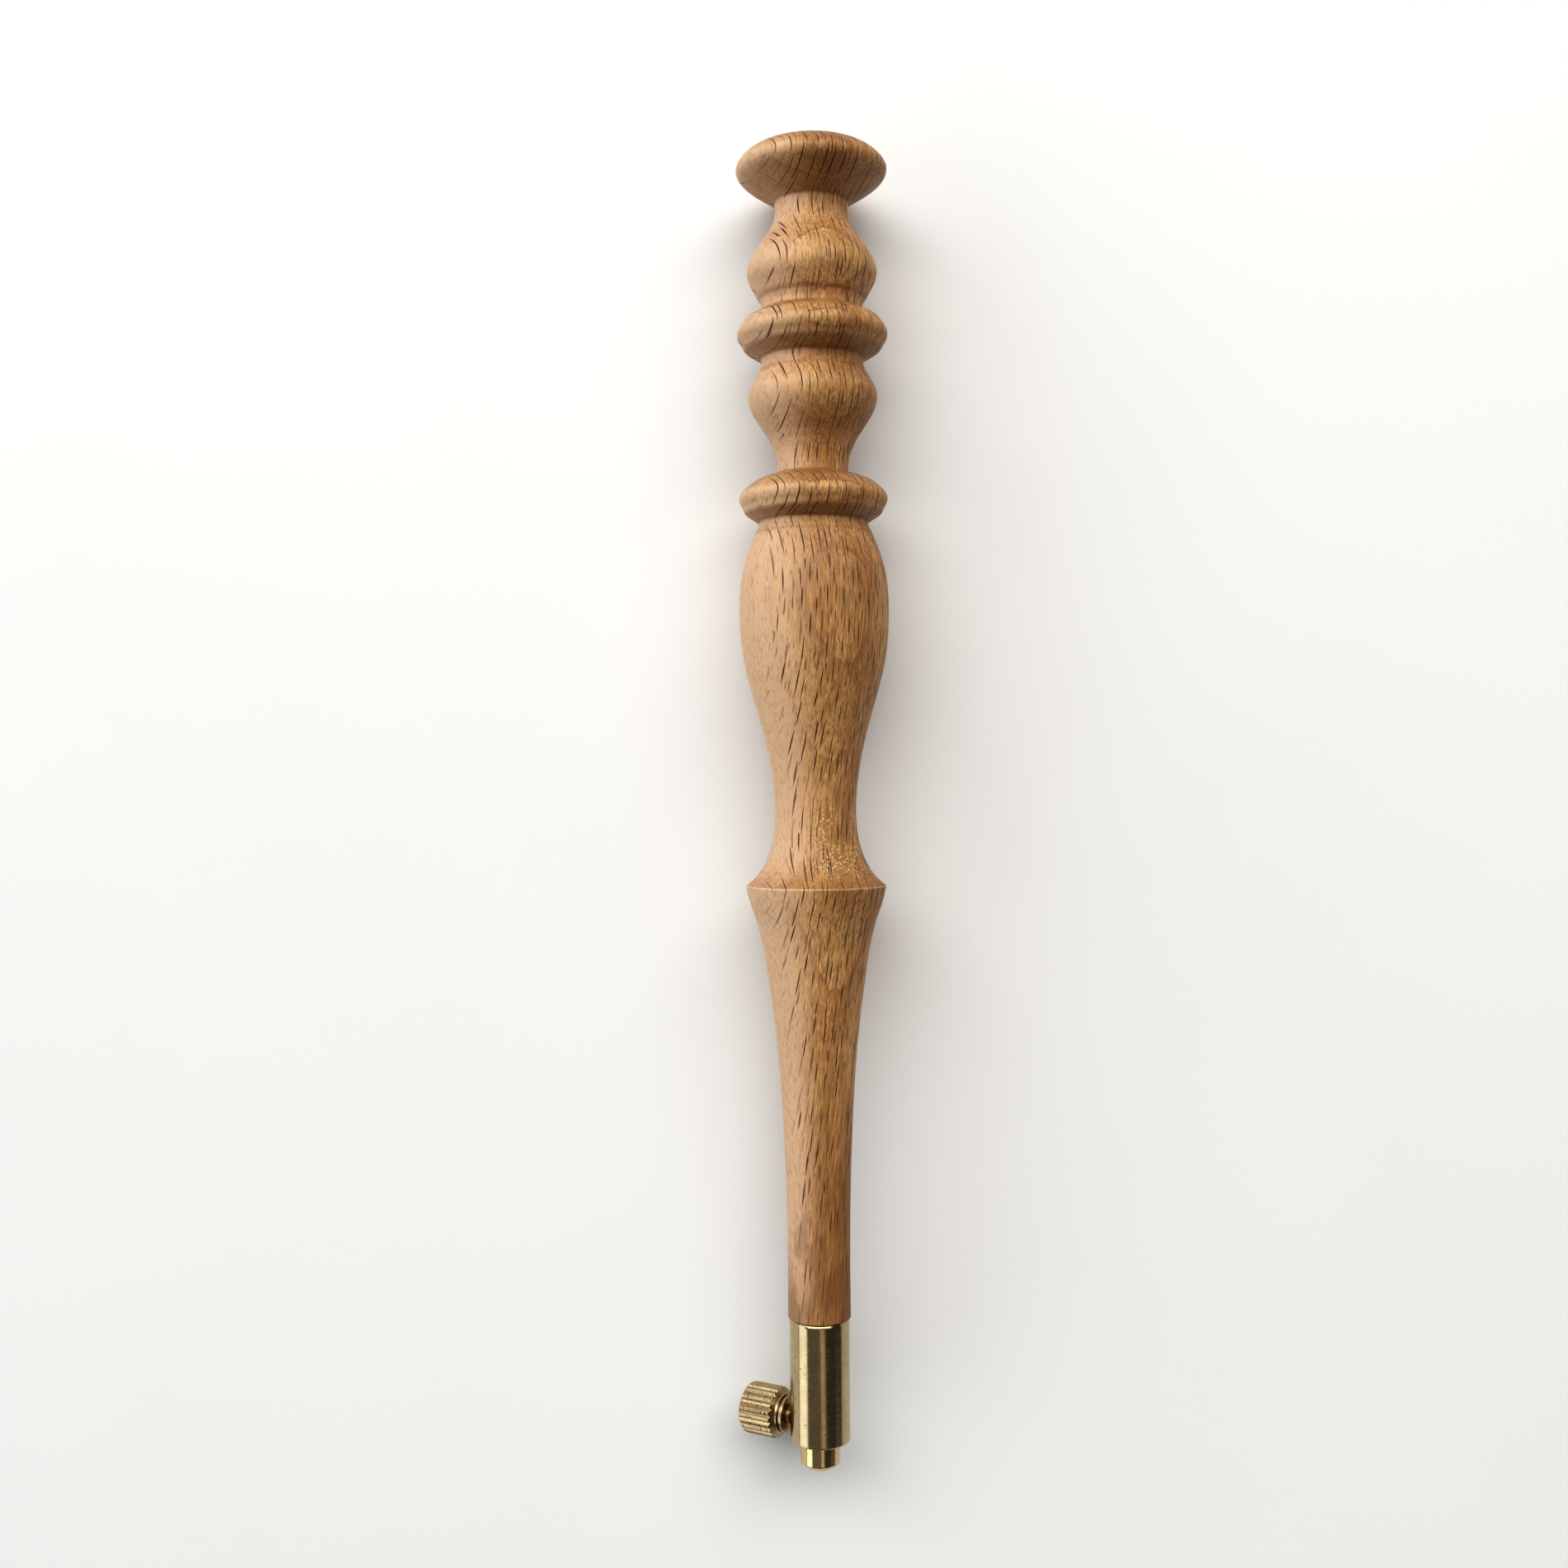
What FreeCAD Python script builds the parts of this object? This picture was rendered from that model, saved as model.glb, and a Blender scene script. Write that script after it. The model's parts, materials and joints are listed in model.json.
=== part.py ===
import FreeCAD, Part
import math
import os

# Turned beech handle for a tambour embroidery hook, with a brass needle chuck.
# Millimetres. The origin is the middle of the needle bore's mouth, +Y runs up
# the handle to the finial and +Z is up with the handle lying on a table.

Vector = FreeCAD.Vector
Y_AXIS = Vector(0, 1, 0)
ORIGIN = Vector(0, 0, 0)

# brass core
NOSE_R = 2.40
NOSE_CHAMFER = 0.57
NEEDLE_BORE_R = 1.05
NEEDLE_BORE_TOP_Y = 20.0
CORE_TOP_Y = 10.50
CORE_TOP_CHAMFER = 0.20

# brass sleeve over the core
SLEEVE_R = 3.62
SLEEVE_BOTTOM_Y = 3.15
SLEEVE_LIP_RADIUS = 0.30
SLEEVE_TOP_CHAMFER = 0.15
GLUE_GAP = 0.02
SEAT_GAP = 0.03

# wood
WOOD_END_Y = 18.0
WOOD_END_R = 3.80
WOOD_END_ROUND = 0.15
TENON_R = 2.90
TENON_CHAMFER = 0.30

# thumbscrew: lengths are distances from the handle's own axis
SCREW_Y = 5.40
SCREW_DROP_DEG = 30.0
SHANK_R = 1.25
SHANK_TIP = 1.15
SHANK_TIP_CHAMFER = 0.25
SHANK_HOLE_START = 0.50
RUNNING_GAP = 0.05
SPIGOT_R = 1.00
SPIGOT_END = 7.50
SOCKET_END = 7.60
KNOB_FACE = 4.27
SMALL_COLLAR_R = 2.17
SMALL_COLLAR_END = 4.72
GROOVE_R = 2.02
GROOVE_END = 4.80
LARGE_COLLAR_R = 2.35
LARGE_COLLAR_END = 5.10
COLLAR_CHAMFER = 0.08
HEAD_R = 3.05
HEAD_START = 5.60
HEAD_END = 9.98
HEAD_CHAMFER = 0.38
HEAD_DISH_R = 1.90
HEAD_DISH_DEPTH = 0.20
KNURL_TEETH = 22
KNURL_DEPTH = 0.22

# how far a cutting tool runs past the face that it starts or ends at
CUT_OVERRUN = 1.0

# The wood's outline, finial first. Each stretch is one smooth cut of the
# turning tool, as (height up the handle, radius), and a crease ends it.
FINIAL = [(160.0, 0.0), (159.6, 3.6), (158.4, 7.7), (156.65, 9.12), (154.5, 7.35), (152.6, 4.45)]
UPPER_BULB = [
    (152.6, 4.45),
    (151.2, 4.42),
    (149.4, 5.05),
    (146.9, 6.75),
    (143.9, 7.83),
    (141.7, 6.85),
    (139.5, 6.1),
]
UPPER_RING = [(139.5, 6.1), (138.3, 8.0), (136.7, 9.1), (135.1, 8.1), (133.7, 6.25)]
LOWER_BULB = [
    (133.7, 6.25),
    (132.4, 6.45),
    (129.4, 7.8),
    (126.8, 7.0),
    (124.4, 5.45),
    (122.4, 4.53),
    (119.95, 4.25),
]
LOWER_RING = [(119.95, 4.25), (118.65, 7.35), (116.9, 8.98), (115.15, 7.95), (114.0, 6.6)]
GRIP = [
    (114.0, 6.6),
    (112.2, 7.3),
    (109.0, 8.42),
    (102.8, 9.02),
    (97.0, 8.47),
    (91.0, 6.87),
    (85.5, 5.53),
    (79.5, 4.88),
    (74.6, 5.46),
    (72.2, 6.55),
    (70.15, 8.48),
]
TAPER = [
    (70.15, 8.48),
    (68.8, 8.2),
    (66.0, 7.26),
    (60.0, 6.0),
    (52.0, 4.96),
    (42.0, 4.22),
    (32.0, 3.85),
    (WOOD_END_Y + WOOD_END_ROUND, WOOD_END_R),
]
CUTS = [FINIAL, UPPER_BULB, UPPER_RING, LOWER_BULB, LOWER_RING, GRIP, TAPER]


def smooth_cut(points):
    """One smooth edge through (height, radius) points."""
    curve = Part.BSplineCurve()
    curve.interpolate([Vector(radius, height, 0) for height, radius in points])
    return curve.toShape()


def straight_cuts(points):
    """Straight edges through (height, radius) points."""
    corners = [Vector(radius, height, 0) for height, radius in points]
    return [Part.makeLine(a, b) for a, b in zip(corners, corners[1:])]


def turned(edges):
    """A solid of revolution about the Y axis, from the edges that bound one half of its section."""
    face = Part.Face(Part.Wire(Part.__sortEdges__(edges)))
    solid = face.revolve(ORIGIN, Y_AXIS, 360)
    return Part.Solid(solid) if solid.ShapeType == "Shell" else solid


def turned_straight(points):
    """A solid of revolution from a closed chain of (height, radius) points."""
    return turned(straight_cuts(points + points[:1]))


def rod(radius, start, end):
    """A cylinder along the Y axis."""
    return Part.makeCylinder(radius, end - start, Vector(0, start, 0), Y_AXIS)


def onto_screw_axis(shape):
    """Swings a shape made along +Y from the origin onto the thumbscrew's axis."""
    shape = shape.copy()
    shape.rotate(ORIGIN, Vector(0, 0, 1), 90)
    shape.rotate(ORIGIN, Y_AXIS, -SCREW_DROP_DEG)
    shape.translate(Vector(0, SCREW_Y, 0))
    return shape


def wooden_handle():
    edges = [smooth_cut(points) for points in CUTS]
    end_ring_r = WOOD_END_R - WOOD_END_ROUND
    tenon_y = CORE_TOP_Y + SEAT_GAP
    bend = WOOD_END_ROUND * (1 - math.sqrt(0.5))
    edges.append(
        Part.Arc(
            Vector(WOOD_END_R, WOOD_END_Y + WOOD_END_ROUND, 0),
            Vector(WOOD_END_R - bend, WOOD_END_Y + bend, 0),
            Vector(end_ring_r, WOOD_END_Y, 0),
        ).toShape()
    )
    edges += straight_cuts(
        [
            (WOOD_END_Y, end_ring_r),
            (WOOD_END_Y, TENON_R),
            (tenon_y + TENON_CHAMFER, TENON_R),
            (tenon_y, TENON_R - TENON_CHAMFER),
            (tenon_y, 0),
            FINIAL[0],
        ]
    )
    return turned(edges).cut(rod(NEEDLE_BORE_R, tenon_y - CUT_OVERRUN, NEEDLE_BORE_TOP_Y))


def brass_core():
    core = turned_straight(
        [
            (0, NEEDLE_BORE_R),
            (0, NOSE_R - NOSE_CHAMFER),
            (NOSE_CHAMFER, NOSE_R),
            (CORE_TOP_Y - CORE_TOP_CHAMFER, NOSE_R),
            (CORE_TOP_Y, NOSE_R - CORE_TOP_CHAMFER),
            (CORE_TOP_Y, NEEDLE_BORE_R),
        ]
    )
    return core.cut(screw_hole())


def brass_sleeve():
    top_y = WOOD_END_Y - SEAT_GAP
    core_hole_r = NOSE_R + GLUE_GAP
    tenon_hole_r = TENON_R + GLUE_GAP
    lip_y = SLEEVE_BOTTOM_Y + SLEEVE_LIP_RADIUS
    lip_r = SLEEVE_R - SLEEVE_LIP_RADIUS
    bend = SLEEVE_LIP_RADIUS * (1 - math.sqrt(0.5))
    lip = Part.Arc(
        Vector(lip_r, SLEEVE_BOTTOM_Y, 0),
        Vector(SLEEVE_R - bend, SLEEVE_BOTTOM_Y + bend, 0),
        Vector(SLEEVE_R, lip_y, 0),
    ).toShape()
    edges = straight_cuts(
        [
            (lip_y, SLEEVE_R),
            (top_y - SLEEVE_TOP_CHAMFER, SLEEVE_R),
            (top_y, SLEEVE_R - SLEEVE_TOP_CHAMFER),
            (top_y, tenon_hole_r),
            (CORE_TOP_Y, tenon_hole_r),
            (CORE_TOP_Y, core_hole_r),
            (SLEEVE_BOTTOM_Y, core_hole_r),
            (SLEEVE_BOTTOM_Y, lip_r),
        ]
    )
    return turned([lip] + edges).cut(screw_hole())


def screw_hole():
    """The hole for the shank, from the needle bore out through the sleeve on one side."""
    return onto_screw_axis(rod(SHANK_R + RUNNING_GAP, SHANK_HOLE_START, SLEEVE_R + CUT_OVERRUN))


def screw_stud():
    stud = turned_straight(
        [
            (SHANK_TIP, 0),
            (SHANK_TIP, SHANK_R - SHANK_TIP_CHAMFER),
            (SHANK_TIP + SHANK_TIP_CHAMFER, SHANK_R),
            (KNOB_FACE - SEAT_GAP, SHANK_R),
            (KNOB_FACE - SEAT_GAP, SPIGOT_R),
            (SPIGOT_END, SPIGOT_R),
            (SPIGOT_END, 0),
        ]
    )
    return onto_screw_axis(stud)


def knurl_cutter(turn_deg):
    """One V-shaped groove of the straight knurl, as long as the head."""
    half_angle = math.pi / KNURL_TEETH
    root_r = HEAD_R - KNURL_DEPTH
    outer_r = HEAD_R + KNURL_DEPTH
    mouth = outer_r * math.tan(half_angle)
    start = HEAD_START - CUT_OVERRUN
    end = HEAD_END + CUT_OVERRUN
    corners = [
        Vector(root_r, start, 0),
        Vector(outer_r, start, mouth),
        Vector(outer_r, start, -mouth),
    ]
    face = Part.Face(Part.makePolygon(corners + corners[:1]))
    groove = face.extrude(Vector(0, end - start, 0))
    groove.rotate(ORIGIN, Y_AXIS, turn_deg)
    return groove


def screw_knob():
    knob = turned_straight(
        [
            (KNOB_FACE, 0),
            (KNOB_FACE, SMALL_COLLAR_R - COLLAR_CHAMFER),
            (KNOB_FACE + COLLAR_CHAMFER, SMALL_COLLAR_R),
            (SMALL_COLLAR_END - COLLAR_CHAMFER, SMALL_COLLAR_R),
            (SMALL_COLLAR_END, GROOVE_R),
            (GROOVE_END, GROOVE_R),
            (GROOVE_END + COLLAR_CHAMFER, LARGE_COLLAR_R),
            (LARGE_COLLAR_END, LARGE_COLLAR_R),
            (HEAD_START, HEAD_R),
            (HEAD_END - HEAD_CHAMFER, HEAD_R),
            (HEAD_END, HEAD_R - HEAD_CHAMFER),
            (HEAD_END, HEAD_DISH_R),
            (HEAD_END - HEAD_DISH_DEPTH, HEAD_DISH_R - HEAD_DISH_DEPTH),
            (HEAD_END - HEAD_DISH_DEPTH, 0),
        ]
    )
    grooves = [knurl_cutter(360.0 * tooth / KNURL_TEETH) for tooth in range(KNURL_TEETH)]
    knob = knob.cut(Part.makeCompound(grooves))
    knob = knob.cut(rod(SPIGOT_R + RUNNING_GAP, KNOB_FACE - CUT_OVERRUN, SOCKET_END))
    return onto_screw_axis(knob)


os.makedirs("parts", exist_ok=True)
NODES = {
    "handle": wooden_handle(),
    "ferrule_sleeve": brass_sleeve(),
    "needle_chuck": brass_core(),
    "thumbscrew_stud": screw_stud(),
    "thumbscrew_knob": screw_knob(),
}
for name, shape in NODES.items():
    solids = shape.Solids
    assert len(solids) == 1 and solids[0].isValid(), name
    solids[0].exportStep(os.path.join("parts", name + ".step"))
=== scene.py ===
import json
import math

import bmesh
import bpy
import numpy as np
from mathutils import Matrix, Vector


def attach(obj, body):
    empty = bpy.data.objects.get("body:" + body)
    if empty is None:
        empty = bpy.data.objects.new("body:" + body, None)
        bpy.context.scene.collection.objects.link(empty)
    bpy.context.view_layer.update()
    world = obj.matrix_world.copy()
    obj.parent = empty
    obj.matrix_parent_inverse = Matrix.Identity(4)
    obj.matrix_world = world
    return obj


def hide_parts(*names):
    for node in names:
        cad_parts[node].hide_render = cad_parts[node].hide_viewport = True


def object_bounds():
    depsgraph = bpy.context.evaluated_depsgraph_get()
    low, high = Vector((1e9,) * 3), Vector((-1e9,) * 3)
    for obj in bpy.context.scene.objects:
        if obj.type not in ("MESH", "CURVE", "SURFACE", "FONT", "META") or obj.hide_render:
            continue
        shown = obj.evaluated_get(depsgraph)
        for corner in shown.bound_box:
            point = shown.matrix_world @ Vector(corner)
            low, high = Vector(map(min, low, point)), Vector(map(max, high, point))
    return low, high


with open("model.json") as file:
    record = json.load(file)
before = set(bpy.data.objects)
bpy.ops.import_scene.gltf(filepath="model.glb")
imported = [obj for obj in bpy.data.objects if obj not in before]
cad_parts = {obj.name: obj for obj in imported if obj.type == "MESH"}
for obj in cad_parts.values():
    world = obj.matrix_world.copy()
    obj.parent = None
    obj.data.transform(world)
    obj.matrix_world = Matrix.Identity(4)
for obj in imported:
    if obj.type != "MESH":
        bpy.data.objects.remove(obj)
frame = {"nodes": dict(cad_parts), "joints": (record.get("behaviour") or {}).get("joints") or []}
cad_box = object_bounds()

# Looks for the turned beech embroidery hook handle. The scene is in metres;
# sizes below are in millimetres and MM turns one into the other.
MM = 0.001
# a radius below this is a point on the axis
ON_AXIS = 1e-6
rng = np.random.default_rng(7)

# ---------------------------------------------------------------- frame
turn_joint = [j for j in frame["joints"] if j["type"] == "hinge"][0]
SCREW_AXIS = Vector(turn_joint["axis"]).normalized()
SCREW_POINT = Vector(turn_joint["pos_m"])
FLOOR_GAP = 0.01


def axis_place(origin, along, across):
    """Matrix that puts a shape made along +Z from the origin onto an axis."""
    along = along.normalized()
    across = (across - along * across.dot(along)).normalized()
    side = along.cross(across)
    place = Matrix((across, side, along)).transposed().to_4x4()
    place.translation = origin
    return place


HANDLE_PLACE = axis_place(Vector((0, 0, 0)), Vector((0, 1, 0)), Vector((1, 0, 0)))
SCREW_PLACE = axis_place(SCREW_POINT, SCREW_AXIS, Vector((0, 1, 0)))


# ---------------------------------------------------------------- meshes
def shape(name, points, faces):
    """A new object in the scene, from points in metres and their faces."""
    mesh = bpy.data.meshes.new(name)
    mesh.from_pydata(points, [], faces)
    made = bpy.data.objects.new(name, mesh)
    bpy.context.scene.collection.objects.link(made)
    return made


def turned(name, rows, columns, place, vary=None, loop=False):
    """A closed mesh of revolution through rows of (along, radius).

    vary(along, radius, angles) gives the radius at each angle. With loop the last
    row joins the first, as in a tube.
    """
    angles = np.linspace(0, 2 * math.pi, columns, endpoint=False)
    verts, starts = [], []
    for along, radius in rows:
        starts.append(len(verts))
        if radius < ON_AXIS:
            verts.append((0.0, 0.0, along))
            continue
        radii = vary(along, radius, angles) if vary else np.full(columns, radius)
        verts += list(zip(radii * np.cos(angles), radii * np.sin(angles), [along] * columns))
    faces = []
    pairs = list(zip(range(len(rows) - 1), range(1, len(rows))))
    if loop:
        pairs.append((len(rows) - 1, 0))
    for low, high in pairs:
        a, b = starts[low], starts[high]
        low_pole, high_pole = rows[low][1] < ON_AXIS, rows[high][1] < ON_AXIS
        for j in range(columns):
            k = (j + 1) % columns
            if low_pole:
                faces.append((a, b + k, b + j))
            elif high_pole:
                faces.append((a + j, a + k, b))
            else:
                faces.append((a + j, a + k, b + k, b + j))
    piece = shape(name, [place @ (Vector(v) * MM) for v in verts], faces)
    work = bmesh.new()
    work.from_mesh(piece.data)
    bmesh.ops.recalc_face_normals(work, faces=work.faces)
    for face in work.faces:
        face.smooth = True
    work.to_mesh(piece.data)
    work.free()
    return piece


def eased(points, radius, loop=False, steps=4):
    """Rounds the corners of a chain of (along, radius) points, with support rows."""
    pts = [np.array(p, float) for p in points]
    out = []
    for i, corner in enumerate(pts):
        if not loop and i in (0, len(pts) - 1):
            out.append(tuple(corner))
            continue
        before, after = pts[i - 1], pts[(i + 1) % len(pts)]
        to_before, to_after = before - corner, after - corner
        reach = min(radius, 0.4 * np.linalg.norm(to_before), 0.4 * np.linalg.norm(to_after))
        start = corner + to_before / np.linalg.norm(to_before) * reach
        end = corner + to_after / np.linalg.norm(to_after) * reach
        out.append(tuple(start + (start - corner) * 0.2))
        for s in np.linspace(0, 1, steps + 1):
            out.append(tuple((1 - s) ** 2 * start + 2 * s * (1 - s) * corner + s * s * end))
        out.append(tuple(end + (end - corner) * 0.2))
    return out


def spaced(points, gap, loop=False):
    """Adds rows so that none are further apart than gap."""
    chain = list(points) + ([points[0]] if loop else [])
    out = []
    for (a0, r0), (a1, r1) in zip(chain, chain[1:]):
        parts = max(1, math.ceil(math.hypot(a1 - a0, r1 - r0) / gap))
        out += [(a0 + (a1 - a0) * k / parts, r0 + (r1 - r0) * k / parts) for k in range(parts)]
    return out if loop else out + [chain[-1]]


def ripple(wave_count, amplitude, longest):
    """Small smooth unevenness over angle and length, from a few seeded waves."""
    waves = [
        (rng.integers(1, 5), rng.uniform(0.3, 1.0) * 2 * math.pi / longest, rng.uniform(0, 6.28))
        for _ in range(wave_count)
    ]

    def value(along, angles):
        total = sum(np.sin(n * angles + w * along + p) for n, w, p in waves)
        return amplitude * total / wave_count

    return value


# ---------------------------------------------------------------- wood
# its outline is read from the CAD handle
handle_points = np.array([v.co[:] for v in frame["nodes"]["handle"].data.vertices]) / MM
handle_radii = np.hypot(handle_points[:, 0], handle_points[:, 2])
WOOD_TOP_Y, WOOD_END_Y = 160.0, 18.0
BORE_R = 1.05
BORE_TOP = 20.0
TENON_R, TENON_END_Y, TENON_CHAMFER = 2.90, 10.53, 0.30
TENON = [
    (WOOD_END_Y, TENON_R),
    (TENON_END_Y + TENON_CHAMFER, TENON_R),
    (TENON_END_Y, TENON_R - TENON_CHAMFER),
    (TENON_END_Y, BORE_R),
    (BORE_TOP, BORE_R),
    (BORE_TOP, 0.0),
]
ROW_STEP = 0.07
WOOD_COLUMNS, WOOD_ROW_GAP = 288, 0.22
# heights of the sharp inner corners, of the fine lines in the coves, and of the ridge
CREASES = [152.6, 139.5, 133.7, 119.95, 114.0]
COVES = [141.0, 132.2, 112.7]
COVE_DEPTH = 0.05
# (height, reach, growth in radius): rounder ring flanks and hollower necks beside them
FULLNESS = [
    (140.3, 0.60, -0.16),
    (138.5, 0.55, 0.30),
    (134.9, 0.50, 0.26),
    (133.0, 0.55, -0.14),
    (118.9, 0.50, 0.26),
    (115.1, 0.50, 0.28),
    (113.5, 0.45, -0.12),
]
COVE_WIDTH = 0.28
RIDGE_Y = 70.15
WAIST_Y = 75.6


FEW_POINTS, WIDE_R = 8, 4
FINIAL_Y, BORE_MOST_R = 150, 3


def wood_outline():
    """(height, radius) rows of the wood above the sleeve, finial first.

    Left out are heights where a wide part has only a few CAD vertices, and heights
    that have only the bore's.
    """
    heights = np.round(handle_points[:, 1], 3)
    rows = [(WOOD_TOP_Y, 0.0)]
    for height in sorted(set(heights[heights >= WOOD_END_Y]), reverse=True):
        here = heights == height
        radius = handle_radii[here].max()
        sparse = here.sum() < FEW_POINTS and radius > WIDE_R
        inside = height < FINIAL_Y and radius < BORE_MOST_R
        if sparse or inside:
            continue
        if math.hypot(height - rows[-1][0], radius - rows[-1][1]) >= ROW_STEP:
            rows.append((float(height), float(radius)))
    return spaced(rows, WOOD_ROW_GAP)


wood_ripple = ripple(wave_count=7, amplitude=0.022, longest=60.0)
# the wood keeps its plain radius next to the sleeve and near the axis
PLAIN_END_Y, PLAIN_R = WOOD_END_Y + 0.5, 1.2


def wood_radius(along, radius, angles):
    """Cove lines, fuller rings and a slight unevenness."""
    if along < PLAIN_END_Y or radius < PLAIN_R:
        return np.full(len(angles), radius)
    cut = sum(COVE_DEPTH * math.exp(-(((along - cove) / COVE_WIDTH) ** 2)) for cove in COVES)
    growth = sum(step * math.exp(-(((along - place) / reach) ** 2)) for place, reach, step in FULLNESS)
    return radius - cut + growth + wood_ripple(along, angles)


TENON_ROW_GAP = 1.5
wood_rows = wood_outline() + spaced(TENON, TENON_ROW_GAP)
wood = turned("beech_handle", wood_rows, WOOD_COLUMNS, HANDLE_PLACE, wood_radius)
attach(wood, "holder")
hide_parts("handle")

# ---------------------------------------------------------------- brass sleeve
SLEEVE_R, SLEEVE_EASE = 3.62, 0.14
SLEEVE_LOW, SLEEVE_HIGH = 3.15, 17.97
LOW_CHAMFER, HIGH_CHAMFER = 0.16, 0.34
BRASS_ROW_GAP = 0.4
CORE_HOLE_R, TENON_HOLE_R, STEP_Y = 2.42, 2.92, 10.50
sleeve_rows = eased(
    [
        (SLEEVE_LOW, CORE_HOLE_R),
        (SLEEVE_LOW, SLEEVE_R - LOW_CHAMFER),
        (SLEEVE_LOW + LOW_CHAMFER, SLEEVE_R),
        (SLEEVE_HIGH - HIGH_CHAMFER, SLEEVE_R),
        (SLEEVE_HIGH, SLEEVE_R - HIGH_CHAMFER / 2),
        (SLEEVE_HIGH, TENON_HOLE_R),
        (STEP_Y, TENON_HOLE_R),
        (STEP_Y, CORE_HOLE_R),
    ],
    SLEEVE_EASE,
    loop=True,
)
# a small dent on the upper side
DENT_Y, DENT_ANGLE = 6.6, math.radians(-97)
DENT_DEPTH, DENT_WIDTH, DENT_LENGTH = 0.035, 0.22, 0.9


def sleeve_radius(along, radius, angles):
    """The dent, on the outside only."""
    if radius < SLEEVE_R - 0.3:
        return np.full(len(angles), radius)
    turn = (angles - DENT_ANGLE + math.pi) % (2 * math.pi) - math.pi
    across, lengthways = turn * SLEEVE_R / DENT_WIDTH, (along - DENT_Y) / DENT_LENGTH
    return radius - DENT_DEPTH * np.exp(-(across**2) - lengthways**2)


SLEEVE_COLUMNS = 224
sleeve_rows = spaced(sleeve_rows, BRASS_ROW_GAP, loop=True)
sleeve = turned("brass_sleeve", sleeve_rows, SLEEVE_COLUMNS, HANDLE_PLACE, sleeve_radius, loop=True)

# ---------------------------------------------------------------- brass core with the nose
NOSE_R, NOSE_CHAMFER, NOSE_EASE, CORE_TOP = 2.40, 0.57, 0.10, 10.50
core_rows = eased(
    [
        (0.0, BORE_R),
        (0.0, NOSE_R - NOSE_CHAMFER),
        (NOSE_CHAMFER, NOSE_R),
        (CORE_TOP, NOSE_R),
        (CORE_TOP, BORE_R),
    ],
    NOSE_EASE,
    loop=True,
)
CORE_COLUMNS = 192
core_rows = spaced(core_rows, BRASS_ROW_GAP, loop=True)
core = turned("brass_nose", core_rows, CORE_COLUMNS, HANDLE_PLACE, loop=True)

# ---------------------------------------------------------------- the screw's hole
HOLE_R, HOLE_START, HOLE_END = 1.30, 0.5, SLEEVE_R + 1
HOLE_COLUMNS = 64
# points nearer than this are joined after the cut, which leaves slivers
WELD = 0.004


def drilled(piece, cutter):
    """Cuts the screw's hole through one side of a piece and cleans its mesh."""
    cut = piece.modifiers.new("screw_hole", "BOOLEAN")
    cut.operation = "DIFFERENCE"
    cut.solver = "EXACT"
    cut.object = cutter
    bpy.context.view_layer.update()
    shaped = bpy.data.meshes.new_from_object(piece.evaluated_get(bpy.context.evaluated_depsgraph_get()))
    piece.modifiers.clear()
    work = bmesh.new()
    work.from_mesh(shaped)
    bmesh.ops.triangulate(work, faces=work.faces)
    bmesh.ops.remove_doubles(work, verts=work.verts, dist=WELD * MM)
    bmesh.ops.dissolve_degenerate(work, dist=WELD * MM, edges=work.edges)
    work.to_mesh(shaped)
    work.free()
    piece.data = shaped


hole_rows = [(HOLE_START, 0.0), (HOLE_START, HOLE_R), (HOLE_END, HOLE_R), (HOLE_END, 0.0)]
hole = turned("hole_cutter", hole_rows, HOLE_COLUMNS, SCREW_PLACE)
drilled(sleeve, hole)
drilled(core, hole)
bpy.data.objects.remove(hole)
for part, node, slot in ((sleeve, "ferrule_sleeve", "sleeve_brass"), (core, "needle_chuck", "nose_brass")):
    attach(part, "holder")
    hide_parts(node)

# ---------------------------------------------------------------- threaded stud
PITCH, THREAD_DEPTH = 0.45, 0.24
ROWS_PER_TURN, STUD_COLUMNS = 14, 96
FLANK_STEEPNESS, CREST_FLAT = 1.15, 0.05
RUN_IN, RUN_OUT, RUN_DEPTH = 0.25, 0.12, 0.2
SHANK_R, SHANK_TIP, SHANK_END, SPIGOT_R, SPIGOT_END = 1.25, 1.15, 4.24, 1.00, 7.50


def thread_radius(along, radius, angles):
    """A helical thread. The shank is thinner at both of its ends."""
    if radius < SHANK_R - 0.01:
        return np.full(len(angles), radius)
    phase = (along / PITCH - angles / (2 * math.pi)) % 1.0
    flank = np.clip(np.abs(phase - 0.5) * 2.0 * FLANK_STEEPNESS - CREST_FLAT, 0, 1)
    full = min(1.0, (along - SHANK_TIP) / RUN_IN, (SHANK_END + 0.02 - along) / RUN_OUT)
    return radius - THREAD_DEPTH * flank - RUN_DEPTH * (1 - max(0.0, full))


stud_rows = [(SHANK_TIP, 0.0), (SHANK_TIP, 0.85)]
stud_rows += spaced([(SHANK_TIP + 0.02, SHANK_R), (SHANK_END, SHANK_R)], PITCH / ROWS_PER_TURN)
stud_rows += [(SHANK_END, SPIGOT_R), (SPIGOT_END, SPIGOT_R), (SPIGOT_END, 0.0)]
stud = turned("screw_stud", stud_rows, STUD_COLUMNS, SCREW_PLACE, thread_radius)
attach(stud, "screw_shank")
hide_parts("thumbscrew_stud")

# ---------------------------------------------------------------- knurled knob
HEAD_R, HEAD_START, HEAD_END = 3.05, 5.60, 9.98
TEETH, GROOVE_DEPTH = 22, 0.24
KNOB_EASE, KNOB_ROW_GAP, COLUMNS_PER_TOOTH = 0.07, 0.07, 20
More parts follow.
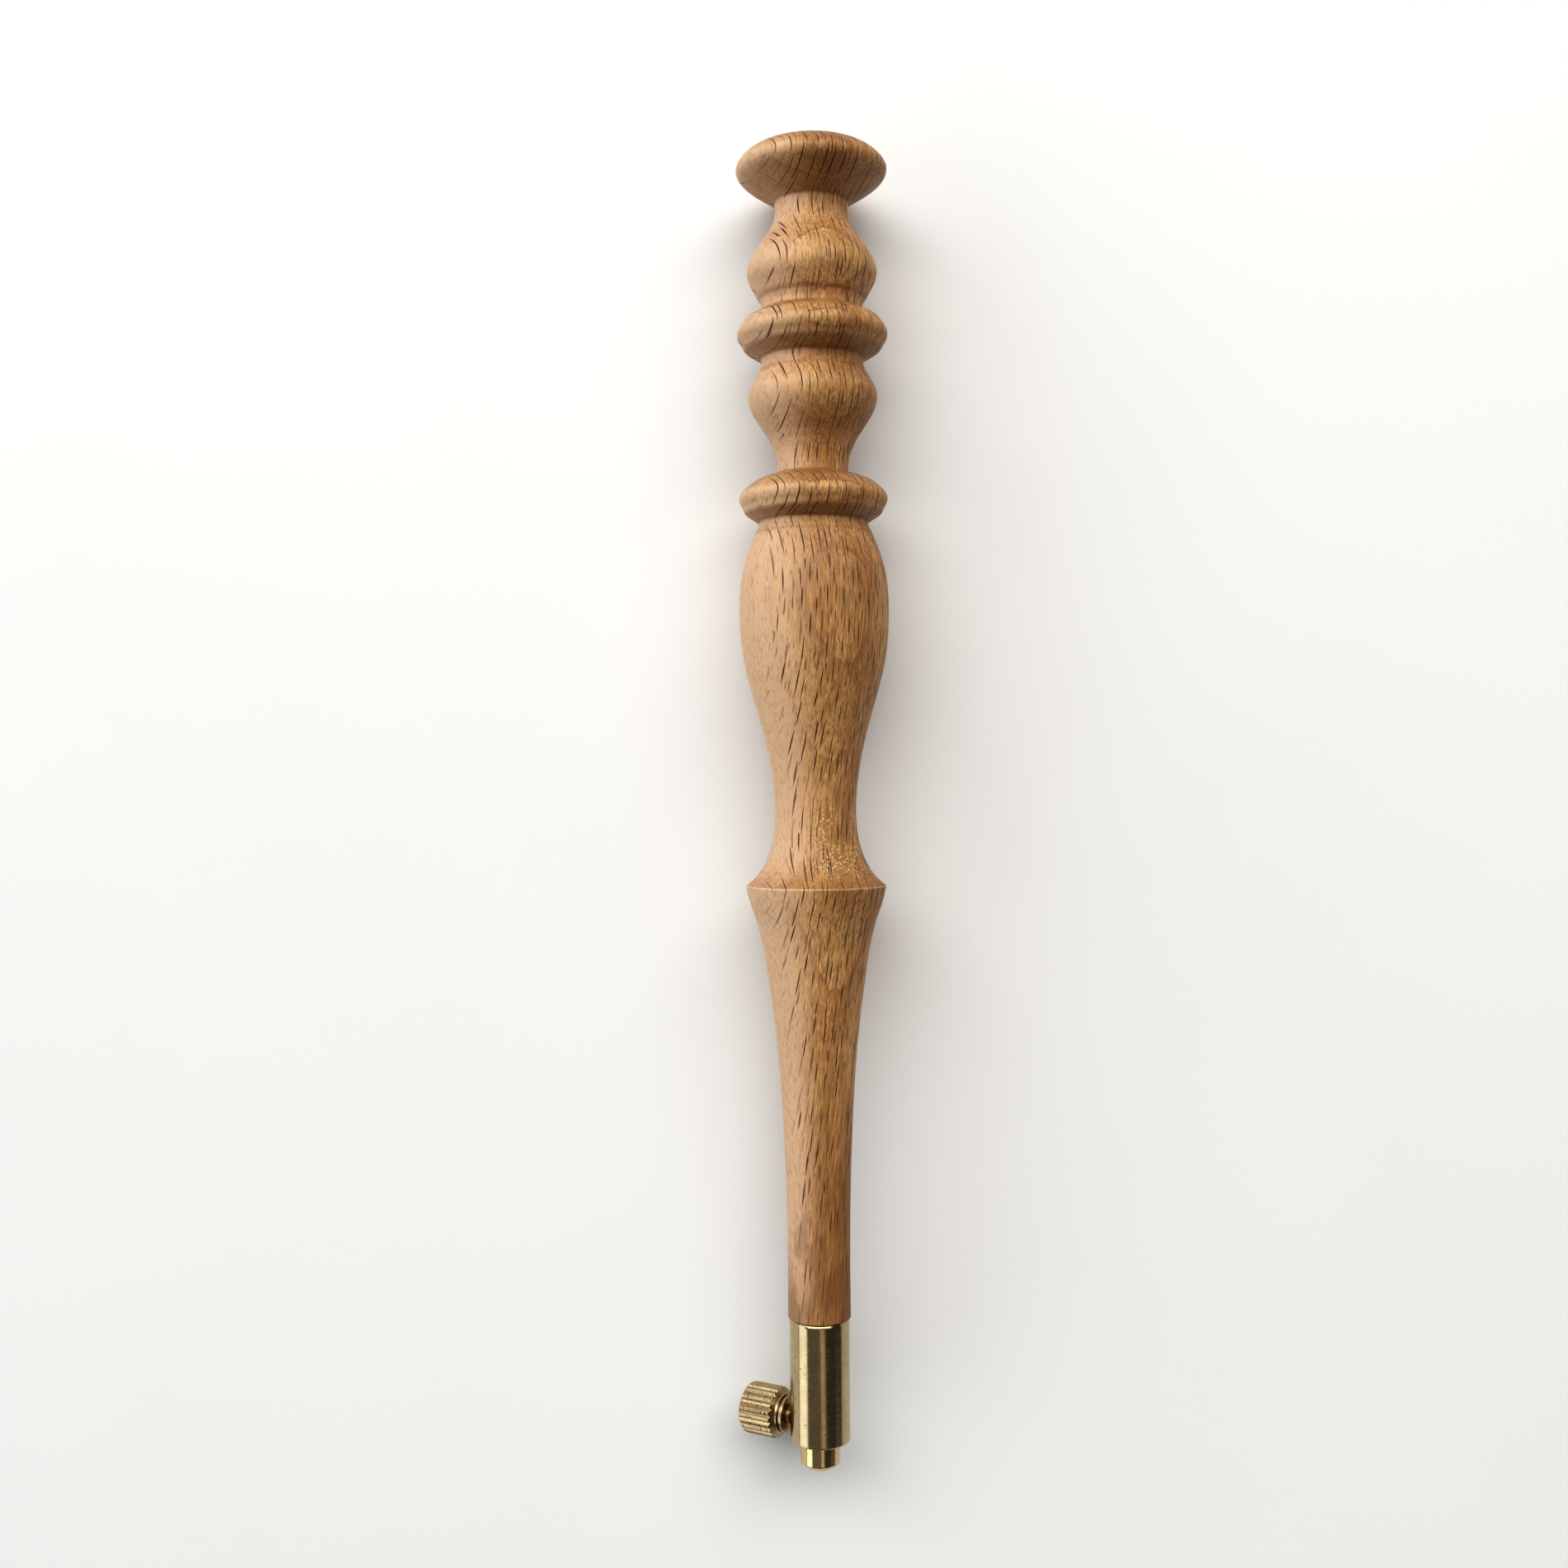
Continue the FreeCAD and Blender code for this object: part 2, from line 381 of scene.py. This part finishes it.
# in widths of a tooth
GROOVE_REACH, NICK_EASE = 0.34, 0.2
knob_rows = eased(
    [
        (4.27, SPIGOT_R + 0.05),
        (4.27, 2.17),
        (4.72, 2.17),
        (4.72, 1.92),
        (4.86, 1.92),
        (4.86, 2.35),
        (5.10, 2.35),
        (HEAD_START, HEAD_R),
        (HEAD_END - 0.36, HEAD_R),
        (HEAD_END, HEAD_R - 0.42),
        (HEAD_END, 1.90),
        (HEAD_END - 0.20, 1.66),
        (HEAD_END - 0.20, 0.0),
    ],
    KNOB_EASE,
)
knob_rows = [(7.6, 0.0), (7.6, SPIGOT_R + 0.05)] + knob_rows
groove_shift = rng.uniform(-0.035, 0.035, TEETH)
groove_depth = GROOVE_DEPTH * rng.uniform(0.85, 1.1, TEETH)
crest_wear = rng.uniform(0.0, 0.035, TEETH)
NICKS = 7
nick_along = rng.uniform(HEAD_START + 0.2, HEAD_END - 0.3, (TEETH, NICKS))
nick_depth = rng.uniform(0.005, 0.040, (TEETH, NICKS))
nick_width = rng.uniform(0.04, 0.09, (TEETH, NICKS))


def knurl_radius(along, radius, angles):
    """Uneven grooves between worn and nicked teeth, on the widest part only."""
    if radius < HEAD_R - 0.5 or along < HEAD_START - 0.3:
        return np.full(len(angles), radius)
    place = angles * TEETH / (2 * math.pi)
    groove = np.round(place).astype(int) % TEETH
    tooth = np.floor(place).astype(int) % TEETH
    from_groove = np.abs(place - np.round(place) - groove_shift[groove])
    cut = groove_depth[groove] * np.clip(1 - from_groove / GROOVE_REACH, 0, 1)
    nicks = (nick_depth[tooth] * np.exp(-(((along - nick_along[tooth]) / nick_width[tooth]) ** 2))).sum(1)
    crown = crest_wear[tooth] + nicks * np.clip(from_groove / NICK_EASE, 0, 1)
    return np.minimum(radius, HEAD_R - cut - crown)


knob_rows = spaced(knob_rows, KNOB_ROW_GAP)
knob = turned("screw_knob", knob_rows, TEETH * COLUMNS_PER_TOOTH, SCREW_PLACE, knurl_radius)
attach(knob, "screw_head")
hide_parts("thumbscrew_knob")


# ---------------------------------------------------------------- materials
class Graph:
    """Short calls for building one material's nodes."""

    def __init__(self, name):
        self.material = bpy.data.materials.new(name)
        self.material.use_nodes = True
        self.tree = self.material.node_tree
        self.shader = self.tree.nodes["Principled BSDF"]
        place = self.add("ShaderNodeTexCoord")
        self.normal = place.outputs["Normal"]
        self.point = self.add("ShaderNodeVectorMath", operation="SCALE")
        self.feed(self.point.inputs[0], place.outputs["Object"])
        self.point.inputs["Scale"].default_value = 1 / MM
        self.mm = self.point.outputs[0]
        self.x, self.y, self.z = self.parts(self.mm)

    def add(self, kind, **settings):
        node = self.tree.nodes.new(kind)
        for key, value in settings.items():
            setattr(node, key, value)
        return node

    def feed(self, socket, value):
        """Links a socket to another, or sets its value."""
        if isinstance(value, bpy.types.NodeSocket):
            self.tree.links.new(value, socket)
        else:
            socket.default_value = value

    def parts(self, vector):
        node = self.add("ShaderNodeSeparateXYZ")
        self.feed(node.inputs[0], vector)
        return node.outputs[0], node.outputs[1], node.outputs[2]

    def vector(self, x, y, z):
        node = self.add("ShaderNodeCombineXYZ")
        for socket, value in zip(node.inputs, (x, y, z)):
            self.feed(socket, value)
        return node.outputs[0]

    def math(self, operation, *values):
        node = self.add("ShaderNodeMath", operation=operation)
        for socket, value in zip(node.inputs, values):
            self.feed(socket, value)
        return node.outputs[0]

    def dot(self, vector, direction):
        node = self.add("ShaderNodeVectorMath", operation="DOT_PRODUCT")
        self.feed(node.inputs[0], vector)
        self.feed(node.inputs[1], direction)
        return node.outputs["Value"]

    def total(self, *values):
        result = values[0]
        for value in values[1:]:
            result = self.math("ADD", result, value)
        return result

    def away_from(self, value, place):
        """Distance from one value to another."""
        return self.math("ABSOLUTE", self.math("SUBTRACT", value, place))

    def tinted(self, factor, colour, tint):
        """The colour multiplied by a tint, as far as factor says."""
        return self.mix(factor, colour, self.mix(1.0, colour, tint, blend="MULTIPLY"))

    def scaled(self, a, b, c, steps):
        """A vector of three coordinates, each multiplied by its own step."""
        return self.vector(*(self.times(value, step) for value, step in zip((a, b, c), steps)))

    def times(self, *values):
        result = values[0]
        for value in values[1:]:
            result = self.math("MULTIPLY", result, value)
        return result

    def spread(self, value, low, high, to_low=0.0, to_high=1.0, kind="SMOOTHSTEP"):
        """Maps the range low to high onto another, 0 to 1 if none is given."""
        node = self.add("ShaderNodeMapRange", interpolation_type=kind)
        for socket, item in zip(node.inputs, (value, low, high, to_low, to_high)):
            self.feed(socket, item)
        return node.outputs[0]

    def noise(self, vector, scale=1.0, detail=2.0, roughness=0.5):
        node = self.add("ShaderNodeTexNoise")
        self.feed(node.inputs["Vector"], vector)
        for key, value in (("Scale", scale), ("Detail", detail), ("Roughness", roughness)):
            self.feed(node.inputs[key], value)
        return node.outputs["Fac"]

    def cells(self, vector, randomness=1.0, feature="F1"):
        node = self.add("ShaderNodeTexVoronoi", feature=feature)
        self.feed(node.inputs["Vector"], vector)
        self.feed(node.inputs["Scale"], 1.0)
        self.feed(node.inputs["Randomness"], randomness)
        return node

    def luck(self, cells):
        """Three random values that are the same all over a cell."""
        node = self.add("ShaderNodeSeparateColor")
        self.feed(node.inputs[0], cells.outputs["Color"])
        return node.outputs[0], node.outputs[1], node.outputs[2]

    def mix(self, factor, a, b, blend="MIX"):
        node = self.add("ShaderNodeMix", data_type="RGBA", blend_type=blend)
        self.feed(node.inputs[0], factor)
        self.feed(node.inputs[6], a if isinstance(a, bpy.types.NodeSocket) else (*a, 1.0))
        self.feed(node.inputs[7], b if isinstance(b, bpy.types.NodeSocket) else (*b, 1.0))
        return node.outputs[2]

    def bump(self, height, distance_mm, strength=1.0):
        node = self.add("ShaderNodeBump")
        self.feed(node.inputs["Height"], height)
        self.feed(node.inputs["Distance"], distance_mm * MM)
        self.feed(node.inputs["Strength"], strength)
        return node.outputs[0]


# ---------------------------------------------------------------- beech
GRAIN_TURN = math.radians(23)
RING_WIDTH = 2.7
LIGHT_WOOD = (0.60, 0.350, 0.150)
DEEP_WOOD = (0.41, 0.210, 0.074)
RING_WOOD = (0.33, 0.140, 0.045)
RAY_DARK = (0.075, 0.022, 0.006)
# stain towards the brass, made deeper on one side by painted shade
LOW_STAIN_AND_SHADE = (0.33, 0.142, 0.048)
# painted light: the colour of the paler quarter-sawn side
LIT_SIDE_WOOD = (0.67, 0.455, 0.295)
# grime and painted shade in the creases
GRIME_AND_CREASE_SHADE = (0.20, 0.085, 0.028)
BLOTCH = (0.19, 0.085, 0.032)
WORN_WOOD = (0.80, 0.55, 0.32)
GOLD = (0.90, 0.72, 0.36)
# painted shade: the tint of the deeper quarter-sawn side
SHADED_SIDE_TINT = (0.72, 0.60, 0.42)
# painted shade: the tint of the side facing along t in the taper and at the belly top
SIDE_SHADE_TINT = (0.86, 0.80, 0.74)
NEAR_BRASS = (0.60, 0.55, 0.47)
END_GRAIN = (0.50, 0.40, 0.33)


class BeechGraph(Graph):
    """The beech's nodes, with coordinates that follow its grain.

    In mm, t runs across the rays, r along them and y along the handle. facing is 1
    where the surface looks along t, and flat_sawn is 1 where it looks along r.
    """

    def __init__(self, name):
        super().__init__(name)
        x, y, z = self.x, self.y, self.z
        c, s = math.cos(GRAIN_TURN), math.sin(GRAIN_TURN)
        self.slow = self.noise(self.scaled(x, y, z, (0.07, 0.022, 0.07)), detail=1.5)
        shifted_z = self.total(self.times(z, 0.06), 9.0)
        drift = self.noise(self.vector(self.times(x, 0.06), self.times(y, 0.03), shifted_z), detail=2.0)
        lean = self.times(self.math("SMOOTH_MIN", y, 92.0, 40.0), 0.095)
        wander = self.times(self.slow, 2.2)
        self.t = self.total(self.times(x, c), self.times(z, -s), self.times(lean, -1.0), wander)
        self.r = self.total(self.times(x, s), self.times(z, c), self.times(drift, 3.4))
        self.facing = self.dot(self.normal, (c, 0.0, -s))
        self.flat_sawn = self.math("ABSOLUTE", self.dot(self.normal, (s, 0.0, c)))
        self.quarter = self.spread(self.flat_sawn, 0.75, 0.25)
        self.fibre = self.along_grain((6.0, 0.38, 6.0), detail=3.0, roughness=0.65)
        self.strand = self.along_grain((2.1, 0.11, 2.1))

    def along_grain(self, steps, detail=2.0, roughness=0.5):
        """Noise drawn out along the grain."""
        return self.noise(self.scaled(self.t, self.y, self.r, steps), detail=detail, roughness=roughness)


def spindles(g, cell, half_length, half_width):
    """Lens-shaped marks, one to a cell, thin across t, long along y and deep along r."""
    across, along, deep = cell
    places = ((g.t, across), (g.y, along), (g.r, deep))
    vector = g.vector(*(g.math("DIVIDE", value, size) for value, size in places))
    cells = g.cells(vector, 0.9)
    away = g.add("ShaderNodeVectorMath", operation="SUBTRACT")
    g.feed(away.inputs[0], vector)
    g.feed(away.inputs[1], cells.outputs["Position"])
    dx, dy, _ = g.parts(away.outputs[0])
    for_length, for_width, for_strength = g.luck(cells)
    length = g.spread(for_length, 0.0, 1.0, *half_length, kind="LINEAR")
    width = g.spread(for_width, 0.0, 1.0, *half_width, kind="LINEAR")
    sideways = g.math("DIVIDE", g.math("ABSOLUTE", g.times(dx, across)), width)
    lengthways = g.math("POWER", g.math("ABSOLUTE", g.math("DIVIDE", g.times(dy, along), length)), 2.0)
    inside = g.spread(g.total(sideways, lengthways), 1.20, 0.80)
    return g.times(inside, g.spread(for_strength, 0.05, 0.40, 0.40, 1.0, kind="LINEAR"))


def ray_flecks(g):
    """The dark ray flecks, faint on the quarter-sawn sides."""
    big = spindles(g, (0.92, 3.9, 12.0), (0.95, 2.25), (0.046, 0.074))
    small = spindles(g, (0.62, 2.2, 5.0), (0.25, 0.70), (0.025, 0.050))
    faced = g.spread(g.flat_sawn, 0.08, 0.40, 0.12, 1.0)
    flank = g.spread(g.math("ABSOLUTE", g.facing), 0.97, 0.76, 0.12, 1.0)
    return g.times(g.math("MAXIMUM", big, g.times(small, 0.5)), faced, flank)


def silky_scales(g):
    """Edges of the small lustrous scales on the quarter-sawn sides."""
    leaning_r = g.total(g.r, g.times(g.y, 0.30))
    scales = g.cells(g.scaled(leaning_r, g.y, g.t, (3.4, 1.5, 2.2)), feature="SMOOTH_F1")
    return g.times(g.spread(scales.outputs["Distance"], 0.38, 0.66), g.quarter)


def grain_colour(g):
    """Growth rings round a pith well outside the handle, and the streaks of fibre."""
    cloud = g.along_grain((0.16, 0.05, 0.16))
    hair = g.along_grain((3.3, 0.20, 3.3), roughness=0.6)
    ring_bow = g.times(g.math("POWER", g.math("ABSOLUTE", g.t), 2.0), 0.006)
    ring_place = g.total(g.r, ring_bow, g.times(g.strand, 0.35))
    phase = g.math("FRACT", g.math("DIVIDE", ring_place, RING_WIDTH))
    late = g.spread(phase, 0.35, 0.97)
    line = g.times(g.spread(phase, 0.88, 0.965), g.spread(phase, 1.0, 0.985))
    colour = g.mix(g.spread(cloud, 0.30, 0.72), LIGHT_WOOD, DEEP_WOOD)
    colour = g.mix(g.times(late, 0.26), colour, RING_WOOD)
    colour = g.mix(g.times(line, 0.42), colour, RING_WOOD)
    tone = g.spread(g.fibre, 0.30, 0.70, 0.60, 1.36, kind="LINEAR")
    tone = g.times(tone, g.spread(hair, 0.30, 0.70, 0.78, 1.17, kind="LINEAR"))
    tone = g.times(tone, g.spread(g.strand, 0.25, 0.75, 0.93, 1.07, kind="LINEAR"))
    shade = g.add("ShaderNodeVectorMath", operation="SCALE")
    g.feed(shade.inputs[0], colour)
    g.feed(shade.inputs["Scale"], tone)
    return shade.outputs[0]


def painted_side_light_and_shade(g, colour):
    """Painted light makes the quarter-sawn side facing against t paler, and painted shade makes the side
    facing along t a little deeper.
    """
    # painted light on the side facing against t
    colour = g.mix(g.spread(g.facing, -0.25, -0.95, 0.0, 0.72), colour, LIT_SIDE_WOOD)
    # painted shade on the side facing along t
    return g.tinted(g.spread(g.facing, 0.0, 0.9, 0.0, 0.25), colour, SHADED_SIDE_TINT)


def stains_and_painted_shade(g, colour):
    """Handling has darkened the wood towards the brass, and in patches near it. Painted shade darkens the
    side facing along t in the lower taper and around the top of the belly, and deepens the darkening
    towards the brass on that side.
    """
    belly_top = g.spread(g.away_from(g.y, 109.0), 7.0, 2.0, 0.0, 0.9)
    low_taper = g.spread(g.y, 52.0, 34.0)
    # painted shade on the side facing along t, in the lower taper and around the top of the belly
    shade_on_one_side = g.times(g.spread(g.facing, -0.2, 0.50), g.math("MAXIMUM", low_taper, belly_top))
    colour = g.tinted(shade_on_one_side, colour, SIDE_SHADE_TINT)
    colour = g.tinted(g.spread(g.y, 27.0, 19.0, 0.0, 0.6), colour, NEAR_BRASS)
    stain_and_painted_shade = g.times(g.spread(g.total(g.y, g.times(g.slow, 16.0)), 50.0, 22.0), 0.55)
    # painted shade: the stain is deeper on the side facing along t
    stain_and_painted_shade = g.times(stain_and_painted_shade, g.spread(g.facing, -0.9, 0.2, 0.30, 1.0))
    colour = g.mix(stain_and_painted_shade, colour, LOW_STAIN_AND_SHADE)
    blotch = g.noise(g.scaled(g.x, g.y, g.z, (0.32, 0.14, 0.32)), detail=3.0)
    blotch = g.times(g.spread(blotch, 0.46, 0.62), g.spread(g.y, 44.0, 24.0, 0.0, 0.5))
    return g.mix(blotch, colour, BLOTCH)


def worn_and_crease_shade(g, colour):
    """Grime and painted shade in the creases, darker end grain and a ridge lightened by wear."""
    # grime and painted shade along the creases and coves
    lines = [g.spread(g.away_from(g.y, height), 0.34, 0.05) for height in CREASES + COVES]
    colour = g.mix(g.times(g.total(*lines), 0.28), colour, GRIME_AND_CREASE_SHADE)
    end_grain = g.spread(g.math("ABSOLUTE", g.dot(g.normal, (0.0, 1.0, 0.0))), 0.30, 0.95)
    colour = g.tinted(g.times(end_grain, 0.5), colour, END_GRAIN)
    rim = g.spread(g.away_from(g.y, RIDGE_Y), 0.14, 0.04)
    return g.mix(g.times(rim, 0.28), colour, WORN_WOOD)


def gold_dust(g, colour):
    """Specks of gold left in the waist, in patches on one side."""
    dust = g.cells(g.scaled(g.x, g.y, g.z, (3.7, 3.7, 3.7)))
    patch = g.noise(g.scaled(g.x, g.y, g.z, (0.25, 0.2, 0.25)), detail=2.0)
    patch = g.times(g.spread(patch, 0.36, 0.54), g.spread(g.away_from(g.y, WAIST_Y), 6.0, 2.5))
    patch = g.times(patch, g.spread(g.x, -2.5, 1.0))
    chosen = g.spread(g.luck(dust)[0], 0.34, 0.52)
    grains = g.times(chosen, g.spread(dust.outputs["Distance"], 0.5, 0.25), patch)
    return g.mix(g.times(grains, 0.8), colour, GOLD)


def beech_material():
    g = BeechGraph("beech_oiled")
    rays = ray_flecks(g)
    scales = silky_scales(g)
    colour = painted_side_light_and_shade(g, grain_colour(g))
    colour = g.mix(g.times(scales, 0.28), colour, RING_WOOD)
    colour = g.mix(rays, colour, RAY_DARK)
    colour = gold_dust(g, worn_and_crease_shade(g, stains_and_painted_shade(g, colour)))
    g.feed(g.shader.inputs["Base Color"], colour)
    rough = g.spread(g.fibre, 0.25, 0.75, 0.46, 0.60)
    rough = g.total(rough, g.times(rays, 0.2), g.times(g.quarter, -0.07))
    g.feed(g.shader.inputs["Roughness"], rough)
    g.shader.inputs["Specular IOR Level"].default_value = 0.5
    lathe = g.noise(g.scaled(g.x, g.y, g.z, (0.15, 3.2, 0.15)), detail=2.0)
    relief = g.total(g.times(g.fibre, 0.55), g.times(rays, -1.2), g.times(scales, -0.25))
    relief = g.total(relief, g.times(g.strand, 0.5), g.times(lathe, 0.45))
    g.feed(g.shader.inputs["Normal"], g.bump(relief, 0.028))
    return g.material


# ---------------------------------------------------------------- brass
PIT_DARK = (0.10, 0.065, 0.025)
HANDLE_AXIS = (0, 1, 0)


def brass_material(name, bright, dull, along, rough, anisotropic, pits):
    """Turned brass. The lathe marks run round the axis along, and pits is their depth."""
    g = Graph(name)
    place = g.add("ShaderNodeVectorMath", operation="SUBTRACT")
    g.feed(place.inputs[0], g.mm)
    g.feed(place.inputs[1], tuple(SCREW_POINT / MM))
    height = g.dot(place.outputs[0], tuple(along))
    film = g.noise(g.mm, scale=0.55, detail=4.0, roughness=0.6)
    spots = g.noise(g.mm, scale=2.6, detail=3.0, roughness=0.6)
    drag = g.noise(g.scaled(height, g.x, g.z, (5.0, 0.08, 0.08)), detail=1.0, roughness=0.5)
    colour = g.mix(g.spread(film, 0.35, 0.70, 0.25, 0.60), bright, dull)
    colour = g.mix(g.times(g.spread(spots, 0.58, 0.72), 0.45), colour, dull)
    pocks = g.cells(g.scaled(g.x, g.y, g.z, (1.7, 1.7, 1.7)))
    chosen = g.spread(g.luck(pocks)[0], 0.72, 0.80)
    pit = g.times(g.spread(pocks.outputs["Distance"], 0.20, 0.12), chosen)
    colour = g.mix(g.times(pit, 0.8), colour, PIT_DARK)
    g.feed(g.shader.inputs["Base Color"], colour)
    g.shader.inputs["Metallic"].default_value = 1.0
    roughness = g.total(
        g.spread(drag, 0.3, 0.7, rough * 0.85, rough * 1.2, kind="LINEAR"),
        g.spread(spots, 0.5, 0.75, 0.0, 0.10),
        g.times(pit, 0.3),
    )
    g.feed(g.shader.inputs["Roughness"], roughness)
    if anisotropic:
        g.shader.inputs["Anisotropic"].default_value = anisotropic
        g.shader.inputs["Anisotropic Rotation"].default_value = 0.25
        tangent = g.add("ShaderNodeTangent", direction_type="RADIAL", axis="Y")
        g.feed(g.shader.inputs["Tangent"], tangent.outputs[0])
    relief = g.total(g.times(drag, 0.5), g.times(pit, -pits * 5.0))
    g.feed(g.shader.inputs["Normal"], g.bump(relief, 0.0015))
    return g.material


def dress(piece, material):
    piece.data.materials.clear()
    piece.data.materials.append(material)


sleeve_brass = brass_material(
    "brass_brushed",
    bright=(0.55, 0.44, 0.27),
    dull=(0.37, 0.28, 0.16),
    along=HANDLE_AXIS,
    rough=0.20,
    anisotropic=0.6,
    pits=0.3,
)
nose_brass = brass_material(
    "brass_polished",
    bright=(0.68, 0.54, 0.31),
    dull=(0.50, 0.38, 0.20),
    along=HANDLE_AXIS,
    rough=0.15,
    anisotropic=0.5,
    pits=0.1,
)
screw_brass = brass_material(
    "brass_screw",
    bright=(0.50, 0.38, 0.22),
    dull=(0.33, 0.24, 0.13),
    along=SCREW_AXIS,
    rough=0.26,
    anisotropic=0.0,
    pits=0.5,
)
dress(wood, beech_material())
dress(sleeve, sleeve_brass)
dress(core, nose_brass)
dress(knob, screw_brass)
dress(stud, screw_brass)

# ---------------------------------------------------------------- stage
FLOOR_Z = cad_box[0].z - FLOOR_GAP * MM
STAGE_RADIUS, WALL_HEIGHT, STAGE_COLUMNS = 1.05, 2.0, 96
WALL_GLOW = 0.60


def floor_material():
    g = Graph("pale_board")
    mottle = g.noise(g.mm, scale=0.02, detail=3.0)
    grit = g.noise(g.mm, scale=1.2, detail=2.0)
    colour = g.mix(mottle, (0.86, 0.86, 0.855), (0.90, 0.90, 0.895))
    g.feed(g.shader.inputs["Base Color"], colour)
    g.shader.inputs["Roughness"].default_value = 0.55
    g.feed(g.shader.inputs["Normal"], g.bump(grit, 0.01))
    return g.material


def circle(radius, z):
    """Points of a level circle round the object's origin."""
    turns = [2 * math.pi * k / STAGE_COLUMNS for k in range(STAGE_COLUMNS)]
    return [(radius * math.cos(a), radius * math.sin(a), z) for a in turns]


def wall(name, radius, foot, height):
    """A ring-shaped wall round the object, seen by the camera only."""
    after = [(k + 1) % STAGE_COLUMNS for k in range(STAGE_COLUMNS)]
    panels = [(k, j, STAGE_COLUMNS + j, STAGE_COLUMNS + k) for k, j in enumerate(after)]
    made = shape(name, circle(radius, foot) + circle(radius, foot + height), panels)
    made.visible_diffuse = False
    made.visible_glossy = False
    made.visible_transmission = False
    made.visible_shadow = False
    return made


def wall_material():
    g = Graph("pale_wall")
    soft = g.noise(g.mm, scale=0.004, detail=2.0)
    g.feed(g.shader.inputs["Base Color"], g.mix(soft, (0.05, 0.05, 0.05), (0.06, 0.06, 0.06)))
    g.feed(g.shader.inputs["Emission Color"], g.mix(soft, (0.84, 0.85, 0.86), (0.88, 0.88, 0.88)))
    g.shader.inputs["Emission Strength"].default_value = WALL_GLOW
    return g.material


floor = shape("floor", circle(STAGE_RADIUS, FLOOR_Z), [tuple(range(STAGE_COLUMNS))])
dress(floor, floor_material())
backdrop = wall("backdrop", STAGE_RADIUS, FLOOR_Z, WALL_HEIGHT)
dress(backdrop, wall_material())

# ---------------------------------------------------------------- light
ROOM_COLOUR, ROOM_STRENGTH = (1.0, 0.97, 0.93, 1.0), 0.07
world = bpy.data.worlds.new("studio")
world.use_nodes = True
world.node_tree.nodes["Background"].inputs["Color"].default_value = ROOM_COLOUR
world.node_tree.nodes["Background"].inputs["Strength"].default_value = ROOM_STRENGTH
bpy.context.scene.world = world

TARGET = Vector((0.0, 0.075, 0.0))


def soft_light(name, centre, width, height, radiance, colour):
    """A rectangular light facing the object, with places and sizes in metres.

    radiance is its brightness as seen from the object, whatever its size.
    """
    light = bpy.data.lights.new(name, "AREA")
    light.shape = "RECTANGLE"
    light.size, light.size_y = width, height
    light.energy = radiance * width * height * 4
    light.color = colour
    lamp = bpy.data.objects.new(name, light)
    lamp.location = centre
    lamp.rotation_euler = (TARGET - Vector(centre)).to_track_quat("-Z", "Y").to_euler()
    lamp.visible_camera = False
    bpy.context.scene.collection.objects.link(lamp)


soft_light("window_left", (-2.91, 1.35, 0.90), 3.30, 1.68, 1.25, (0.78, 0.89, 1.0))
soft_light("window_low", (-2.82, -1.14, 1.11), 2.40, 1.92, 1.3, (0.88, 0.95, 1.0))
soft_light("window_top", (-0.05, 1.00, 1.05), 2.60, 1.00, 2.35, (1.0, 0.985, 0.965))
soft_light("ceiling_right", (0.22, -0.40, 1.15), 0.30, 1.0, 0.42, (1.0, 0.93, 0.80))
soft_light("low_right_back", (1.5, -1.5, 0.45), 1.6, 0.8, 0.25, (1.0, 0.95, 0.88))
soft_light("ceiling_left", (-0.40, -0.40, 1.15), 0.85, 1.0, 0.10, (1.0, 0.93, 0.80))

# ---------------------------------------------------------------- camera
FOCAL_LENGTH, SENSOR_WIDTH = 38.46, 36.0
CAMERA_PLACE = (-3.81, 82.48, 202.75)
CAMERA_TURN = math.radians(-0.429)
lens = bpy.data.cameras.new("camera")
lens.sensor_width = SENSOR_WIDTH
lens.lens = FOCAL_LENGTH
lens.clip_start = 0.01
lens.clip_end = 20.0
camera = bpy.data.objects.new("camera", lens)
camera.location = Vector(CAMERA_PLACE) * MM
camera.rotation_euler = (0, 0, CAMERA_TURN)
bpy.context.scene.collection.objects.link(camera)
bpy.context.scene.camera = camera

bpy.context.scene.view_settings.view_transform = "Standard"
bpy.context.scene.view_settings.look = "High Contrast"
bpy.context.scene.view_settings.exposure = -0.12
